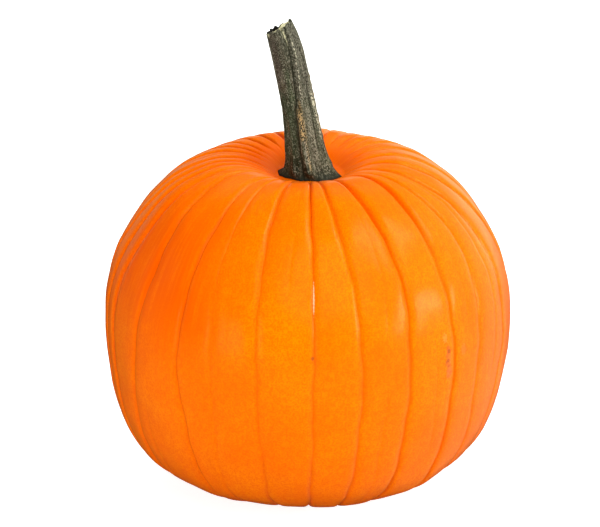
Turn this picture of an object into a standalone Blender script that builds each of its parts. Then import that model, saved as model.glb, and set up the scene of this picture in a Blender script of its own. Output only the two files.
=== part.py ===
"""A carving pumpkin standing on its blossom end, with the cut stalk it was picked with.

Two pieces, both in metres with +Z up and the origin under the middle of the fruit, on the
surface it stands on:

- fruit: one grown body. A turned outline is pressed in along its grooves, which leaves the ribs
  between them. It has a flat seat for the stalk, a ring foot and a dimple at the blossom end.
- stem: a ridged, leaning stalk that flares where it sits on the fruit and ends in a slanted cut.

Azimuth is measured in degrees round the fruit: 0 faces -Y and +90 faces +X. A place along the
outline runs from 0 in the middle of the seat to 1 in the middle of the blossom end.
"""

import math

import bmesh
import bpy
import numpy as np

# Driving dimensions.
FRUIT_RADIUS = 0.140
FRUIT_HEIGHT = 0.2342
LEAN = 0.016  # how far the axis moves towards +X for each unit of height
LEAN_HEIGHT = 0.120  # the height at which the leaning axis crosses the origin's upright
GAP = 0.0003
MERGE_DISTANCE = 0.000003

# The body's outline, from the rim of the seat over the crest and the widest part to the rim of
# the foot, as shares of the radius and of the height.
OUTLINE = (
    (0.165, 0.9547),
    (0.205, 0.9690),
    (0.262, 0.9865),
    (0.330, 0.9975),
    (0.420, 1.0000),
    (0.530, 0.9825),
    (0.717, 0.9155),
    (0.860, 0.8110),
    (0.956, 0.6910),
    (0.996, 0.5640),
    (0.981, 0.3750),
    (0.934, 0.2550),
    (0.834, 0.1480),
    (0.669, 0.0773),
    (0.486, 0.0338),
    (0.343, 0.0089),
    (0.286, 0.0000),
)
BODY_ROWS = 30
FOOT_INNER_RADIUS = 0.028
DIMPLE_DEPTH = 0.004
DIMPLE_ROWS = 3

# Grooves in order round the fruit: azimuth at the shoulder, at the widest part and at the
# underside, then how deep the groove is beside the others.
GROOVES = (
    (-170, -170, -170, 0.8),
    (-159, -159, -160, 1.0),
    (-148, -147, -146, 0.8),
    (-137, -136, -135, 0.9),
    (-127, -127, -125, 0.8),
    (-119, -121, -119, 1.0),
    (-111, -112, -111, 0.8),
    (-95, -97, -95, 1.4),
    (-87, -89, -86, 1.0),
    (-79, -79, -75, 1.2),
    (-69, -71, -67, 1.1),
    (-59, -56, -58, 0.7),
    (-38, -37, -33, 0.7),
    (-30, -27, -26, 0.4),
    (-16, -14, -12, 0.65),
    (1, 2, 2, 0.7),
    (11, 15, 14, 0.75),
    (27, 29, 28, 0.85),
    (46, 44, 43, 0.8),
    (57, 56, 55, 0.5),
    (69, 72, 66, 0.9),
    (84, 91, 88, 1.4),
    (98, 103, 101, 1.0),
    (114, 114, 113, 1.0),
    (127, 127, 126, 0.8),
    (138, 138, 137, 0.8),
    (148, 149, 149, 0.9),
    (158, 159, 159, 0.8),
    (168, 168, 169, 0.7),
    (179, 179, 179, 0.7),
)
SHOULDER_PLACE = 0.20
WIDEST_PLACE = 0.50
UNDERSIDE_PLACE = 0.72
COLUMNS = 132

# How far a groove lies below the ribs beside it, along the outline.
RELIEF_PLACES = (0.00, 0.07, 0.14, 0.26, 0.50, 0.70, 0.82, 0.90, 1.00)
RELIEF_DEPTHS = (0.0, 0.0, 0.0020, 0.0024, 0.0015, 0.0018, 0.0020, 0.0, 0.0)
TYPICAL_RIB = 13.0  # width in degrees of a rib whose grooves have the depths above
RIB_ROUNDNESS = 4.0

# Stations up the stalk: height above the seat, sideways shift along X, radius over the ridges,
# then the section's tilt in degrees, the +X side up, and its tilt with the -Y side up.
STEM_STATIONS = (
    (0.0000, 0.0030, 0.0212, 0, 0),
    (0.0030, 0.0024, 0.0186, 1, 0),
    (0.0090, 0.0012, 0.0158, 3, 0),
    (0.0180, -0.0002, 0.0141, 5, 0),
    (0.0330, -0.0022, 0.0128, 7, 0),
    (0.0500, -0.0048, 0.0118, 9, 0),
    (0.0670, -0.0080, 0.0115, 11, 0),
    (0.0840, -0.0115, 0.0113, 15, 2),
    (0.0950, -0.0145, 0.0107, 21, 5),
    (0.1040, -0.0176, 0.0100, 29, 8),
)
STEM_RIDGES = (-142, -88, -36, 14, 64, 116, 168)  # azimuths of the ridges
RIDGE_SHARE = 0.15  # depth of the hollows between ridges, as a share of the radius
STEM_COLUMNS = 42
STEM_ROWS = 22
STEM_ROW_SPREAD = 1.3  # above 1, the sections stand closer together at the flare

ORANGE = (0.90, 0.22, 0.01, 1.0)
RIND_ROUGHNESS = 0.35
DARK_GREEN = (0.06, 0.07, 0.04, 1.0)
STALK_ROUGHNESS = 0.8
SMOOTH_ANGLE = math.radians(35)


def smooth_curve(knots, values, at):
    """A natural cubic spline through (knots, values), read at the places in at."""
    knots = np.asarray(knots, float)
    values = np.asarray(values, float)
    gaps = np.diff(knots)
    slopes = np.diff(values) / gaps
    system = np.eye(len(knots))
    right = np.zeros(len(knots))
    for i in range(1, len(knots) - 1):
        system[i, i - 1:i + 2] = gaps[i - 1], 2 * (gaps[i - 1] + gaps[i]), gaps[i]
        right[i] = 6 * (slopes[i] - slopes[i - 1])
    bends = np.linalg.solve(system, right)
    span = np.clip(np.searchsorted(knots, at) - 1, 0, len(gaps) - 1)
    after = (at - knots[span]) / gaps[span]
    before = 1 - after
    line = before * values[span] + after * values[span + 1]
    curve = (before**3 - before) * bends[span] + (after**3 - after) * bends[span + 1]
    return line + curve * gaps[span]**2 / 6


def fruit_outline():
    """Radii and heights of the whole outline, from the seat's middle to the blossom end's."""
    corners = np.array(OUTLINE) * (FRUIT_RADIUS, FRUIT_HEIGHT)
    lengths = np.hypot(*np.diff(corners, axis=0).T)
    knots = np.concatenate([[0.0], np.cumsum(lengths)])
    at = np.linspace(0.0, knots[-1], BODY_ROWS + 1)
    radii = smooth_curve(knots, corners[:, 0], at)
    heights = smooth_curve(knots, corners[:, 1], at)
    foot_radii = np.linspace(FOOT_INNER_RADIUS, 0.0, DIMPLE_ROWS + 1)
    foot_heights = DIMPLE_DEPTH * (1 - (foot_radii / FOOT_INNER_RADIUS)**2)
    radii = np.concatenate([[0.0], radii, foot_radii])
    heights = np.concatenate([[heights[0]], heights, foot_heights])
    return radii, heights


def outline_places(radii, heights):
    """Place of each outline point, from 0 to 1 along the outline."""
    steps = np.hypot(np.diff(radii), np.diff(heights))
    lengths = np.concatenate([[0.0], np.cumsum(steps)])
    return lengths / lengths[-1]


def outward_normals(radii, heights):
    """The outline's outward direction at each point, as radial and upward parts."""
    radial = -np.gradient(heights)
    upward = np.gradient(radii)
    size = np.hypot(radial, upward)
    return radial / size, upward / size


def eased(place, start, end):
    """0 up to start, 1 from end on, and an easy rise between them."""
    share = min(max((place - start) / (end - start), 0.0), 1.0)
    return share * share * (3 - 2 * share)


def groove_azimuths(place):
    """Azimuth of every groove at one place along the outline."""
    shoulder, widest, underside, _ = np.array(GROOVES, float).T
    to_widest = eased(place, SHOULDER_PLACE, WIDEST_PLACE)
    to_underside = eased(place, WIDEST_PLACE, UNDERSIDE_PLACE)
    return shoulder + (widest - shoulder) * to_widest + (underside - widest) * to_underside


def once_more_round(azimuths):
    """The same azimuths with the last one repeated before them and the first after them."""
    return np.concatenate([[azimuths[-1] - 360], azimuths, [azimuths[0] + 360]])


def groove_columns():
    """The turned grid's azimuth that each groove takes over: the nearest column to it."""
    step = 360 / COLUMNS
    return np.round(groove_azimuths(WIDEST_PLACE) / step) * step


def pressed_in(azimuths, place):
    """How far the skin lies inside the turned body at these azimuths and this place."""
    grooves = once_more_round(groove_azimuths(place))
    weights = np.array([groove[3] for groove in GROOVES])
    weights = np.concatenate([weights[-1:], weights, weights[:1]])
    rib = np.clip(np.searchsorted(grooves, azimuths) - 1, 0, len(grooves) - 2)
    width = grooves[rib + 1] - grooves[rib]
    across = (azimuths - grooves[rib]) / width
    from_middle = np.abs(2 * across - 1)**RIB_ROUNDNESS
    weight = weights[rib] + (weights[rib + 1] - weights[rib]) * across
    depth = smooth_curve(RELIEF_PLACES, RELIEF_DEPTHS, place).item()
    return max(depth, 0.0) * weight * from_middle * np.sqrt(width / TYPICAL_RIB)


def material(name, colour, roughness):
    """A plain material with this colour and roughness."""
    made = bpy.data.materials.new(name)
    made.use_nodes = True
    shader = made.node_tree.nodes["Principled BSDF"]
    shader.inputs["Base Color"].default_value = colour
    shader.inputs["Roughness"].default_value = roughness
    return made


def add_object(name, mesh_maker, finish):
    """Links one named object that holds the finished bmesh, shaded smooth."""
    mesh = bpy.data.meshes.new(name)
    bmesh.ops.recalc_face_normals(mesh_maker, faces=mesh_maker.faces)
    mesh_maker.to_mesh(mesh)
    mesh_maker.free()
    mesh.materials.append(finish)
    mesh.shade_smooth()
    mesh.set_sharp_from_angle(angle=SMOOTH_ANGLE)
    made = bpy.data.objects.new(name, mesh)
    bpy.context.scene.collection.objects.link(made)
    return made


def make_fruit():
    """The fruit: its outline turned round the axis, then pressed in along the grooves."""
    radii, heights = fruit_outline()
    places = outline_places(radii, heights)
    radial, upward = outward_normals(radii, heights)
    columns = once_more_round(groove_columns())

    body = bmesh.new()
    row_of = body.verts.layers.int.new("row")
    outline = [body.verts.new((radius, 0, height)) for radius, height in zip(radii, heights)]
    for row, vertex in enumerate(outline):
        vertex[row_of] = row
    edges = [body.edges.new(pair) for pair in zip(outline, outline[1:])]
    bmesh.ops.spin(
        body,
        geom=outline + edges,
        cent=(0, 0, 0),
        axis=(0, 0, 1),
        angle=math.tau,
        steps=COLUMNS,
        use_merge=True,
    )
    bmesh.ops.remove_doubles(body, verts=body.verts, dist=MERGE_DISTANCE)

    for vertex in body.verts:
        row = vertex[row_of]
        grid_azimuth = math.degrees(math.atan2(vertex.co.x, -vertex.co.y))
        grooves = once_more_round(groove_azimuths(places[row]))
        azimuth = np.interp(grid_azimuth, columns, grooves)
        depth = pressed_in(azimuth, places[row])
        radius = radii[row] - radial[row] * depth
        height = heights[row] - upward[row] * depth
        angle = math.radians(azimuth)
        vertex.co.x = radius * math.sin(angle) + LEAN * (height - LEAN_HEIGHT)
        vertex.co.y = -radius * math.cos(angle)
        vertex.co.z = height
    return add_object("fruit", body, material("orange_rind", ORANGE, RIND_ROUGHNESS))


def ridge_share(azimuth):
    """Share of the stalk's radius at an azimuth: 1 on a ridge, less in the hollows between."""
    ridges = once_more_round(np.array(STEM_RIDGES, float))
    span = np.clip(np.searchsorted(ridges, azimuth) - 1, 0, len(ridges) - 2)
    across = (azimuth - ridges[span]) / (ridges[span + 1] - ridges[span])
    return 1 - RIDGE_SHARE * math.sin(math.pi * across)


def make_stem():
    """The stalk: ridged sections skinned from its flared foot to its slanted cut."""
    stations = np.array(STEM_STATIONS, float)
    seat_height = OUTLINE[0][1] * FRUIT_HEIGHT
    climb = np.linspace(0.0, 1.0, STEM_ROWS + 1)**STEM_ROW_SPREAD
    levels = climb * stations[-1, 0]
    stands = [smooth_curve(stations[:, 0], column, levels) for column in stations[:, 1:].T]

    body = bmesh.new()
    sections = []
    for level, shift, width, side_tilt, back_tilt in zip(levels, *stands):
        side = math.radians(side_tilt)
        back = math.radians(back_tilt)
        section = []
        for column in range(STEM_COLUMNS):
            azimuth = column * 360 / STEM_COLUMNS - 180
            angle = math.radians(azimuth)
            radius = width * ridge_share(azimuth)
            across = radius * math.sin(angle)
            ahead = radius * math.cos(angle)
            x = shift + across * math.cos(side)
            y = -ahead * math.cos(back)
            z = seat_height + GAP + level + across * math.sin(side) + ahead * math.sin(back)
            section.append(body.verts.new((x, y, z)))
        sections.append(section)
    for lower, upper in zip(sections, sections[1:]):
        for i in range(STEM_COLUMNS):
            body.faces.new((lower[i - 1], lower[i], upper[i], upper[i - 1]))
    body.faces.new(sections[0])
    body.faces.new(sections[-1])
    return add_object("stem", body, material("dry_stalk", DARK_GREEN, STALK_ROUGHNESS))


def main():
    """Clears the scene, then makes both pieces."""
    for old in list(bpy.data.objects):
        bpy.data.objects.remove(old)
    make_fruit()
    make_stem()


main()
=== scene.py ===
"""A carving pumpkin with its cut stalk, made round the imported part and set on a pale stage.

Two pieces stand for the part's two nodes:

- ribbed_fruit: the part's outline, turned round its leaning axis and pressed in along its grooves,
  with the narrow creases, the blossom scar and the slight unevenness of a grown rind.
- cut_stalk: the part's ridged, leaning stalk, with its fibres, its cork, its gripping foot and a
  ragged cut end that shows the pith.

Lengths are in metres, +Z is up and the best side faces -Y. Azimuth is measured in degrees round
the fruit: 0 faces -Y and +90 faces +X. A place along the fruit's outline runs from 0 in the middle
of the seat under the stalk to 1 in the middle of the blossom end.
"""

import math

import bpy
import numpy as np
from bpy.props import FloatProperty, FloatVectorProperty, PointerProperty
from mathutils import Matrix, Vector


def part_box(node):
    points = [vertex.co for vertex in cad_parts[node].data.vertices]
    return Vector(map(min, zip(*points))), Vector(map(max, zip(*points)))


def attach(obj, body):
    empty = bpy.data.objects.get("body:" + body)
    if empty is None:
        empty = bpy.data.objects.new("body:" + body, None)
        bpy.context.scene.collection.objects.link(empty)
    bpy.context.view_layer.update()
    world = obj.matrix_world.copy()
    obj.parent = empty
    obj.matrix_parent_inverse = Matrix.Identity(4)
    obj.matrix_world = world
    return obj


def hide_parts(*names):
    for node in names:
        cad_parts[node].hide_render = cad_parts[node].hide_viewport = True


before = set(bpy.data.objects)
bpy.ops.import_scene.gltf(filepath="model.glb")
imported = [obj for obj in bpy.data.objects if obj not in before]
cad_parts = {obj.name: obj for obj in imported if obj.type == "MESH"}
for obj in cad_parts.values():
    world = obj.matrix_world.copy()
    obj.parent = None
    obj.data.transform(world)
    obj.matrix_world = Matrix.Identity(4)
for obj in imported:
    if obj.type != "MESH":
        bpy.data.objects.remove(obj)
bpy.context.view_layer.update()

bl_info = {
    "name": "Pumpkin",
    "version": (1, 0, 0),
    "blender": (4, 5, 0),
    "location": "View3D > Sidebar > Pumpkin",
    "description": "Builds a ribbed pumpkin, its cut stalk and a pale stage",
    "category": "Add Mesh",
}

FRUIT_LOW, FRUIT_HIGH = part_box("fruit")
FRUIT_RADIUS = (FRUIT_HIGH.x - FRUIT_LOW.x) / 2
FRUIT_HEIGHT = FRUIT_HIGH.z
MM = 0.001
WAVE_SPREAD = (0.7, 1.5)  # shortest and longest wave, as shares of the size asked for

# ---- Shared shape tools ------------------------------------------------------------------------


def smooth_curve(knots, values, at):
    """A natural cubic spline through (knots, values), read at the places in at."""
    knots = np.asarray(knots, float)
    values = np.asarray(values, float)
    gaps = np.diff(knots)
    slopes = np.diff(values) / gaps
    system = np.eye(len(knots))
    right = np.zeros(len(knots))
    for i in range(1, len(knots) - 1):
        system[i, i - 1:i + 2] = gaps[i - 1], 2 * (gaps[i - 1] + gaps[i]), gaps[i]
        right[i] = 6 * (slopes[i] - slopes[i - 1])
    bends = np.linalg.solve(system, right)
    span = np.clip(np.searchsorted(knots, at) - 1, 0, len(gaps) - 1)
    after = (at - knots[span]) / gaps[span]
    before = 1 - after
    line = before * values[span] + after * values[span + 1]
    curve = (before**3 - before) * bends[span] + (after**3 - after) * bends[span + 1]
    return line + curve * gaps[span]**2 / 6


def eased(value, start, end):
    """0 up to start, 1 from end on, and an easy rise between them."""
    share = np.clip((value - start) / (end - start), 0.0, 1.0)
    return share * share * (3 - 2 * share)


def bell(distance, width):
    """1 in the middle, falling smoothly to nothing beyond about two widths."""
    return np.exp(-(distance / width)**2)


def waves(points, size, seed, count=24):
    """Smooth unevenness at points: plane waves of about this length in all directions, rms 1."""
    draw = np.random.default_rng(seed)
    ways = draw.normal(size=(count, 3))
    ways /= np.linalg.norm(ways, axis=1, keepdims=True)
    lengths = size * draw.uniform(*WAVE_SPREAD, count)
    phases = draw.uniform(0, math.tau, count)
    total = np.zeros(points.shape[:-1])
    for way, length, phase in zip(ways, lengths, phases):
        total += np.sin(points @ way * (math.tau / length) + phase)
    return total * math.sqrt(2 / count)


def apart(azimuths, other):
    """Degrees from other to these azimuths, the short way round."""
    return (azimuths - other + 180) % 360 - 180


def once_more_round(azimuths):
    """The same azimuths with the last one repeated before them and the first after them."""
    return np.concatenate([[azimuths[-1] - 360], azimuths, [azimuths[0] + 360]])


def closed_mesh(name, points):
    """A closed mesh over rows of points.

    Each row is a ring. The first and the last row have shrunk to a point. Rows run downwards and
    columns anticlockwise seen from above, so the faces point outwards.
    """
    rings = points[1:-1]
    rows, columns = rings.shape[:2]
    corners = np.concatenate([rings.reshape(-1, 3), points[0, :1], points[-1, :1]])
    index = np.arange(rows * columns).reshape(rows, columns)
    beside = np.roll(index, -1, axis=1)
    quads = np.stack([index[:-1], index[1:], beside[1:], beside[:-1]], axis=-1).reshape(-1, 4)
    first, last = rows * columns, rows * columns + 1
    top = [(first, a, b) for a, b in zip(index[0].tolist(), beside[0].tolist())]
    bottom = [(last, b, a) for a, b in zip(index[-1].tolist(), beside[-1].tolist())]
    mesh = bpy.data.meshes.new(name)
    mesh.from_pydata(corners.tolist(), [], quads.tolist() + top + bottom)
    mesh.shade_smooth()
    return mesh


def give(mesh, name, values):
    """Stores one number or one vector for each point of a closed mesh, from its rows."""
    values = np.concatenate([values[1:-1].reshape(-1, *values.shape[2:]), values[[0, -1], 0]])
    kind, field = ("FLOAT", "value") if values.ndim == 1 else ("FLOAT_VECTOR", "vector")
    attribute = mesh.attributes.new(name, kind, "POINT")
    attribute.data.foreach_set(field, values.astype(np.float32).ravel())


def add_piece(mesh, finish, node):
    """Links a piece that rides with the part and stands for one of its nodes."""
    mesh.materials.append(finish)
    piece = bpy.data.objects.new(mesh.name, mesh)
    bpy.context.scene.collection.objects.link(piece)
    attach(piece, "root")
    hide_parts(node)
    return piece


# ---- The fruit ---------------------------------------------------------------------------------

# How far the fruit's axis moves towards +X for each unit of height, and the height at which it
# crosses the origin's upright.
LEAN = 0.016
LEAN_HEIGHT = 0.5124 * FRUIT_HEIGHT

# The body's outline, from the rim of the seat over the crest and the widest part to the rim of
# the foot, as shares of the radius and of the height.
OUTLINE = (
    (0.165, 0.9547),
    (0.205, 0.9690),
    (0.262, 0.9865),
    (0.330, 0.9975),
    (0.420, 1.0000),
    (0.530, 0.9825),
    (0.717, 0.9155),
    (0.860, 0.8110),
    (0.956, 0.6910),
    (0.996, 0.5640),
    (0.981, 0.3750),
    (0.934, 0.2550),
    (0.834, 0.1480),
    (0.669, 0.0773),
    (0.486, 0.0338),
    (0.343, 0.0089),
    (0.286, 0.0000),
)
SEAT_HEIGHT = OUTLINE[0][1] * FRUIT_HEIGHT
BODY_ROWS = 158
SEAT_ROWS = 4
FOOT_INNER_RADIUS = 0.2 * FRUIT_RADIUS
DIMPLE_DEPTH = 4 * MM
DIMPLE_ROWS = 14

# Grooves in order round the fruit: azimuth at each of the places below, how deep the groove is
# beside the others, and how deep the crease along it is.
GROOVES = (
    (-170, -170, -170, -170, 0.8, 1),
    (-159, -159, -159, -160, 1, 1.3),
    (-148, -148, -147, -146, 0.8, 1.1),
    (-137, -137, -136, -135, 0.9, 1.3),
    (-127, -128, -127, -125, 0.8, 1.3),
    (-118.5, -120, -121, -119, 1, 1.6),
    (-110.5, -111, -112, -111, 0.8, 1.5),
    (-96, -94, -97, -95, 1.7, 2.2),
    (-86, -88, -90, -86, 1.4, 2),
    (-78, -80, -79.5, -75, 1.6, 2.1),
    (-68.5, -70, -72.5, -67, 1.3, 1.7),
    (-60.5, -56.3, -56, -57.5, 0.7, 0.8),
    (-38.7, -38.2, -38.5, -33.4, 0.7, 0.6),
    (-30, -29.7, -27.5, -26, 0.4, 0.3),
    (-16.2, -15.4, -14.2, -12.2, 0.65, 0.5),
    (1, 1.4, 1.6, 1.5, 0.7, 0.6),
    (8.8, 12.8, 15, 13.8, 0.75, 0.7),
    (25, 29.2, 29.3, 28, 0.85, 0.8),
    (47, 45.3, 44.8, 43, 0.8, 0.7),
    (54, 59.5, 56, 55, 0.5, 0.4),
    (65, 73, 73.5, 66, 0.9, 1),
    (81, 87, 92, 88, 1.4, 1.8),
    (99, 97, 103, 101, 1, 1.5),
    (115, 113, 114, 113, 1, 1.5),
    (127.5, 126, 127, 126, 0.8, 1.2),
    (138, 138, 138, 137, 0.8, 1.2),
    (148, 148, 149, 149, 0.9, 1.2),
    (158, 158, 159, 159, 0.8, 1),
    (168, 168, 168, 169, 0.7, 0.9),
    (179, 179, 179, 179, 0.7, 0.9),
)
PATH_PLACES = (0.13, 0.28, 0.45, 0.68)
AT_WIDEST = 2  # which of these places is nearest the widest part, counted from 0
PATH_END = 0.92  # beyond this place the grooves run straight to the blossom end

# Sideways waver of the grooves and creases: degrees, radians over the whole outline, and radians
# by which it is shifted for each degree of azimuth.
CREASE_WAVES = ((0.22, 41, 1.7), (0.132, 97, 0.9))

# How far a groove lies below the ribs beside it, along the outline.
RELIEF_PLACES = (0.00, 0.04, 0.13, 0.26, 0.50, 0.70, 0.82, 0.90, 1.00)
RELIEF_DEPTHS = (0.0, 0.0, 0.0030, 0.0029, 0.0015, 0.0018, 0.0020, 0.0, 0.0)
TYPICAL_RIB = 13.0  # width in degrees of a rib whose grooves have the depths above
RIB_ROUNDNESS = 6.0

# A crease runs along each groove, between these places at the front. Towards the back, the
# cavity's wall is smooth further up, so ribs and creases start later there.
LONG_CREASE = (0.075, 0.945)
LATER_AT_BACK = 0.055
RIB_START = 0.035

# The stain along a crease is a deeper colour, partly the rind's own and partly painted shade.
# A crease whose stain weighs less than the strong one shows only a share of it near the stalk, and
# the whole of it beyond these places.
STRONG_STAIN_AND_SHADE = 0.9
FAINT_SHARE = 0.45
STAIN_AND_SHADE_GROWS = (0.18, 0.50)

# Short creases lie between the grooves: the four azimuths, the weights of their stain and their
# depth, and the places where they start and end.
SHORT_CREASES = (
    (-142, -142, -141, -140, 0.4, 0.4, 0.30, 0.62),
    (-104, -103, -104, -104, 0.4, 0.4, 0.10, 0.38),
    (-65, -65.8, -67.3, -64, 0.3, 0.2, 0.20, 0.44),
    (-53, -53, -52.5, -50, 0.4, 0.4, 0.58, 0.74),
    (-47, -46, -46, -44, 0.2, 0.2, 0.10, 0.34),
    (-25, -23.8, -23, -22, 0.4, 0.4, 0.18, 0.40),
    (-4.5, -5.8, -5.2, -5, 0.3, 0.3, 0.15, 0.32),
    (20, 23, 22.5, 21.5, 0.25, 0.25, 0.22, 0.38),
    (21, 21, 22, 20.5, 0.3, 0.3, 0.52, 0.72),
    (35, 36, 37.5, 38, 0.3, 0.3, 0.38, 0.60),
    (49, 52, 51, 50, 0.3, 0.3, 0.24, 0.40),
    (62, 67.6, 66, 60, 0.5, 0.5, 0.14, 0.50),
    (107, 105, 108, 107, 0.4, 0.4, 0.36, 0.66),
    (132, 132, 132, 131, 0.4, 0.4, 0.12, 0.40),
    (163, 163, 163, 164, 0.4, 0.4, 0.26, 0.58),
    (174, 174, 174, 174, 0.4, 0.4, 0.10, 0.34),
)
CREASE_FADE = 0.05  # how gradually a crease starts and ends, as a share of the outline
CREASE_ROOM = 0.25  # a crease's half width is at most this share of the room between two
FEWEST_COLUMNS = 4  # between two creases
COLUMN_STEP = 0.66  # average degrees of azimuth between two columns at the widest part

# Unevenness of the rind: length of the swellings, height, seed.
SWELLINGS = (
    (0.090, 0.00040, 3),
    (0.034, 0.00016, 8),
    (0.012, 0.00004, 21),
)
SWELLINGS_START = (0.06, 0.14)  # places between which they grow to their height
SWELLINGS_END = (0.84, 0.90)  # places between which they end

# Broad lumps: azimuth, place, width in degrees, extent along the outline, height.
LUMPS = (
    (174, 0.24, 14, 0.10, 2.2 * MM),
    (-81, 0.33, 8, 0.06, -1.5 * MM),
    (44, 0.725, 8, 0.05, 1.8 * MM),
    (-36, 0.750, 9, 0.05, 1.6 * MM),
)

# The blossom scar. Its rim and its middle are given as shares of its radius and of its height.
SCAR_RADIUS = 9 * MM
SCAR_HEIGHT = 1.6 * MM
SCAR_LOBES = 5
SCAR_LOBE_HEIGHT = 0.3  # how much higher the rim is at a lobe
SCAR_RIM = 0.75
SCAR_RIM_WIDTH = 0.28
SCAR_MIDDLE = 0.5
SCAR_MIDDLE_WIDTH = 0.25

# Broad tones of the rind: azimuth, place, width in degrees, height as a share of the outline, and
# strength, above 0 where the skin is redder and below 0 where it is more golden.
TONES = (
    (-60, 0.34, 22, 0.12, 1.00),
    (-8, 0.38, 14, 0.10, -0.45),
    (3, 0.60, 10, 0.10, -0.35),
    (60, 0.42, 12, 0.14, 0.20),
    (-38, 0.36, 10, 0.12, 0.35),
    (-28, 0.24, 12, 0.06, 0.30),
    (-30, 0.40, 9, 0.06, 0.30),
    # Painted shade: this row and the next darken the cavity round the stalk.
    (-125, 0.06, 70, 0.06, 1.20),
    (110, 0.06, 50, 0.05, 0.70),
    (130, 0.35, 25, 0.15, 0.40),
    (-150, 0.50, 25, 0.18, -0.40),
    (175, 0.30, 20, 0.12, 0.30),
)


def fruit_outline():
    """Radii, heights and places of the outline, from the seat's middle to the blossom end's."""
    corners = np.array(OUTLINE) * (FRUIT_RADIUS, FRUIT_HEIGHT)
    lengths = np.hypot(*np.diff(corners, axis=0).T)
    knots = np.concatenate([[0.0], np.cumsum(lengths)])
    at = np.linspace(0.0, knots[-1], BODY_ROWS + 1)
    body_radii = smooth_curve(knots, corners[:, 0], at)
    body_heights = np.minimum(smooth_curve(knots, corners[:, 1], at), FRUIT_HEIGHT)
    seat_radii = np.linspace(0.0, body_radii[0], SEAT_ROWS, endpoint=False)
    seat_heights = np.full(SEAT_ROWS, body_heights[0])
    dimple_radii = np.linspace(FOOT_INNER_RADIUS, 0.0, DIMPLE_ROWS + 1)
    dimple_heights = DIMPLE_DEPTH * (1 - (dimple_radii / FOOT_INNER_RADIUS)**2)
    radii = np.concatenate([seat_radii, body_radii, dimple_radii])
    heights = np.concatenate([seat_heights, body_heights, dimple_heights])
    steps = np.hypot(np.diff(radii), np.diff(heights))
    reached = np.concatenate([[0.0], np.cumsum(steps)])
    return radii, heights, reached / reached[-1]


def outward_normals(radii, heights):
    """The outline's outward direction at each point, as radial and upward parts."""
    radial = -np.gradient(heights)
    upward = np.gradient(radii)
    size = np.hypot(radial, upward)
    return radial / size, upward / size


def azimuths_at(lines, places):
    """Azimuth of each line at each place, on smooth curves that run straight to both ends."""
    knots = (0.0, *PATH_PLACES, PATH_END)
    found = []
    for line in lines:
        stations = line[:len(PATH_PLACES)]
        values = (stations[0], *stations, stations[-1])
        curve = smooth_curve(knots, values, np.minimum(places, PATH_END))
        for degrees, swing, shift in CREASE_WAVES:
            curve = curve + degrees * np.sin(places * swing + stations[AT_WIDEST] * shift)
        found.append(curve)
    return np.array(found).T


def backness(azimuths):
    """0 at the front of the fruit and 1 at its back."""
    return (1 - np.cos(np.radians(azimuths))) / 2


def columns_between(creases):
    """For each column, the crease before it and its share of the way to the next crease."""
    widest = once_more_round(np.array([line[AT_WIDEST] for line in creases], float))[1:]
    before = []
    shares = []
    for i, width in enumerate(np.diff(widest)):
        count = max(FEWEST_COLUMNS, round(width / COLUMN_STEP))
        steps = np.arange(count) / count
        before += [i] * count
        shares += list((1 - np.cos(math.pi * steps)) / 2)  # columns gather at the creases
    return np.array(before), np.array(shares)


def rib_relief(azimuths, grooves, weights):
    """How far the skin lies inside the ribs' crowns, as a share of the place's relief."""
    rib = np.clip(np.searchsorted(grooves, azimuths) - 1, 0, len(grooves) - 2)
    width = grooves[rib + 1] - grooves[rib]
    across = (azimuths - grooves[rib]) / width
    from_middle = np.abs(2 * across - 1)**RIB_ROUNDNESS
    weight = weights[rib] + (weights[rib + 1] - weights[rib]) * across
    return weight * from_middle * np.sqrt(width / TYPICAL_RIB)


def crease_depth(azimuths, lines, weights, radius, width):
    """Depth of the creases at these azimuths, as a share of the deepest crease."""
    distance = np.radians(apart(azimuths[:, None], lines)) * radius
    room = math.tau * radius / len(lines)
    return (bell(distance, min(width, CREASE_ROOM * room)) * weights).max(axis=1)


def blossom_scar(radius, azimuths):
    """How far the corky scar stands out of the dimple at the blossom end."""
    lobes = SCAR_LOBE_HEIGHT * np.sin(np.radians(azimuths) * SCAR_LOBES)
    lobes = lobes * eased(radius, 0, SCAR_RADIUS)
    rim = bell(radius - SCAR_RIM * SCAR_RADIUS, SCAR_RIM_WIDTH * SCAR_RADIUS) * (1 + lobes)
    middle = SCAR_MIDDLE * bell(radius, SCAR_MIDDLE_WIDTH * SCAR_RADIUS)
    return SCAR_HEIGHT * (rim + middle)


def spots(table, azimuths, places):
    """The sum of a table's round spots, each fading smoothly outwards."""
    total = np.zeros(azimuths.shape)
    for azimuth, place, width, extent, strength in table:
        total += strength * bell(apart(azimuths, azimuth), width) * bell(places - place, extent)
    return total


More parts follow.
